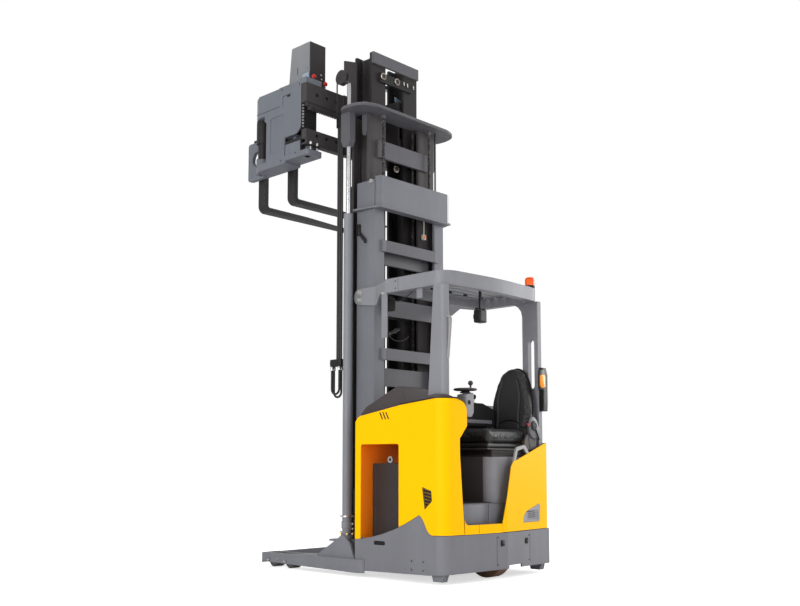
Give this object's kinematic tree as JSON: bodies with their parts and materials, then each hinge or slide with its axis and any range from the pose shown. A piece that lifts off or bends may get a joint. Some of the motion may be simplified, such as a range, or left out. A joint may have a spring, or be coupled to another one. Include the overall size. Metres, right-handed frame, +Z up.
{
  "type": "very narrow aisle truck",
  "caption": "Narrow aisle truck with a seated compartment under a guard, a telescopic mast, and a traversing, swivelling fork head.",
  "frame": {"origin": "on the floor under the middle of the truck's length and width, as modelled with the mast partly raised", "axes": "+X forward towards the mast and the load wheels, +Y to the truck's left, +Z up"},
  "size_m": [2.496, 1.45, 4.432],
  "materials": {
    "frame_grey": "smooth satin",
    "mast_grey": "smooth satin",
    "mast_dark": "satin black paint",
    "cross_grey": "satin paint",
    "body_yellow": "gloss",
    "bay_orange": "satin",
    "battery_dark": "satin",
    "moulded_dark": "fine grain",
    "moulded_grey": "fine grain",
    "seat_vinyl": "soft grain",
    "wheel_tread": "smooth polyurethane",
    "steel_bright": "ground and polished",
    "fork_black": "satin black paint",
    "hose_rubber": "matt",
    "lamp_black": "glossy"
  },
  "bodies": {
    "truck": {"chassis_frame": "frame_grey", "leg_left": "frame_grey", "leg_right": "frame_grey", "front_beam": "frame_grey", "side_panel_left": "body_yellow", "side_panel_right": "body_yellow", "rear_panel_right": "body_yellow", "rear_vent": "moulded_grey", "rear_sill": "body_yellow", "battery_bay": "bay_orange", "battery": "battery_dark", "front_cowl": "moulded_dark", "entry_step": "moulded_grey", "cab_wall": "moulded_dark", "seat_pedestal": "moulded_grey", "seat_base": "moulded_dark", "seat_cushion": "seat_vinyl", "seat_back": "seat_vinyl", "steering_console": "moulded_grey", "steering_disc": "moulded_dark", "lever_console": "moulded_dark", "overhead_guard": "frame_grey", "lamps": "lamp_black", "grab_handles": "moulded_dark", "outer_mast": "mast_grey", "mast_crown": "mast_grey", "lift_tubes": "mast_grey"},
    "middle_stage": {"middle_mast": "mast_dark", "middle_head": "cross_grey", "hose_sheave": "mast_dark", "lift_rods": "steel_bright", "hose_bundle": "hose_rubber"},
    "inner_stage": {"inner_mast": "mast_dark", "inner_head": "cross_grey", "free_lift_tubes": "mast_dark"},
    "free_lift": {"free_lift_rods": "steel_bright"},
    "carriage": {"lift_carriage": "mast_dark", "traverse_frame": "mast_dark"},
    "head": {"traverse_head": "frame_grey", "swivel_motor": "frame_grey"},
    "swivel": {"swivel_carriage": "frame_grey", "fork_front": "fork_black", "fork_rear": "fork_black"},
    "drive_turntable": {"drive_unit": "moulded_dark"},
    "drive_wheel_body": {"drive_wheel": "wheel_tread"},
    "load_wheel_rl": {"load_wheel_rear_left": "wheel_tread"},
    "load_wheel_fl": {"load_wheel_front_left": "wheel_tread"},
    "load_wheel_rr": {"load_wheel_rear_right": "wheel_tread"},
    "load_wheel_fr": {"load_wheel_front_right": "wheel_tread"}
  },
  "joints": [
    {"name": "middle_stage_lift", "type": "slide", "parent": "truck", "child": "middle_stage", "axis": [0, 0, 1], "range_m": [-0.5, 1.75]},
    {"name": "inner_stage_lift", "type": "slide", "parent": "middle_stage", "child": "inner_stage", "axis": [0, 0, 1], "range_m": [-0.5, 1.75]},
    {"name": "free_lift_rod_slide", "type": "slide", "parent": "inner_stage", "child": "free_lift", "axis": [0, 0, 1], "range_m": [-0.95, 0]},
    {"name": "carriage_lift", "type": "slide", "parent": "free_lift", "child": "carriage", "axis": [0, 0, 1], "range_m": [-0.95, 0]},
    {"name": "head_traverse", "type": "slide", "parent": "carriage", "child": "head", "axis": [0, 1, 0], "range_m": [-1.28, 0]},
    {"name": "fork_swivel", "type": "hinge", "parent": "head", "child": "swivel", "pos_m": [0.915, 0.64, 3.66], "axis": [0, 0, 1], "range_deg": [0, 180]},
    {"name": "drive_steer", "type": "hinge", "parent": "truck", "child": "drive_turntable", "pos_m": [-1.049, -0.03, 0.35], "axis": [0, 0, 1], "range_deg": [-90, 90]},
    {"name": "drive_wheel_spin", "type": "hinge", "parent": "drive_turntable", "child": "drive_wheel_body", "pos_m": [-1.049, -0.03, 0.171], "axis": [0, 1, 0], "continuous": true},
    {"name": "load_wheel_rl_spin", "type": "hinge", "parent": "truck", "child": "load_wheel_rl", "pos_m": [0.515, 0.574, 0.06], "axis": [0, 1, 0], "continuous": true},
    {"name": "load_wheel_fl_spin", "type": "hinge", "parent": "truck", "child": "load_wheel_fl", "pos_m": [0.726, 0.574, 0.06], "axis": [0, 1, 0], "continuous": true},
    {"name": "load_wheel_rr_spin", "type": "hinge", "parent": "truck", "child": "load_wheel_rr", "pos_m": [0.515, -0.574, 0.06], "axis": [0, 1, 0], "continuous": true},
    {"name": "load_wheel_fr_spin", "type": "hinge", "parent": "truck", "child": "load_wheel_fr", "pos_m": [0.726, -0.574, 0.06], "axis": [0, 1, 0], "continuous": true}
  ],
  "couplings": [
    {"joint": "inner_stage_lift", "follows": "middle_stage_lift", "ratio": 1},
    {"joint": "carriage_lift", "follows": "free_lift_rod_slide", "ratio": 1}
  ]
}
